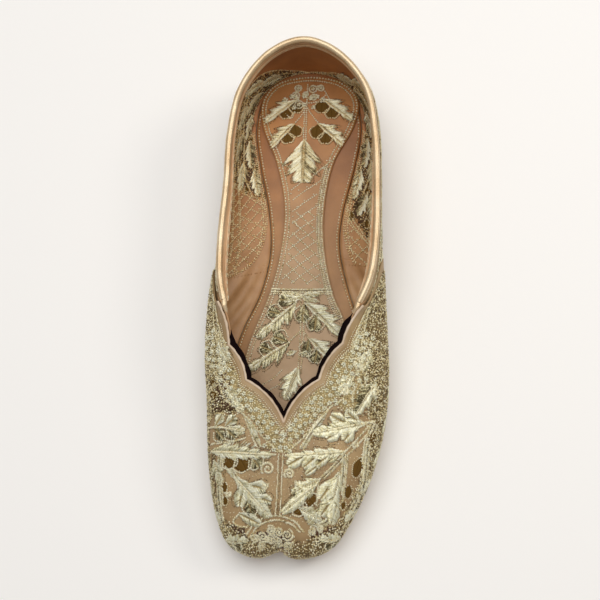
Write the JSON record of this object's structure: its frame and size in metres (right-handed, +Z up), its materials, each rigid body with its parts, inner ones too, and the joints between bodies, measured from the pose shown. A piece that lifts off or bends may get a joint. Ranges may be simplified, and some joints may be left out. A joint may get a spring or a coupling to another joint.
{
  "type": "embroidered slip-on flat",
  "caption": "Slip-on flat shoe with a scalloped V throat, closed back, cloven toe and low heel, in tan leather covered with gold thread embroidery.",
  "frame": {"origin": "the middle of the whole shoe's box, at the level of the floor it stands on", "axes": "+Z up; -Y towards the toe and +Y towards the heel; -X towards the medial side, where the big toe lies"},
  "size_m": [0.0876, 0.2483, 0.0536],
  "materials": {
    "sole_leather": "satin",
    "heel_leather": "satin",
    "upper_leather": "satin",
    "gold_piping": "satin",
    "insole_leather": "satin",
    "pad_leather": "satin",
    "lining_leather": "satin",
    "gold_thread": "satin",
    "silver_thread": "satin",
    "bronze_foil": "satin"
  },
  "bodies": {
    "root": {"outsole": "sole_leather", "heel": "heel_leather", "upper": "upper_leather", "collar_piping": "gold_piping", "insole": "insole_leather", "insole_pad": "pad_leather"}
  },
  "joints": []
}
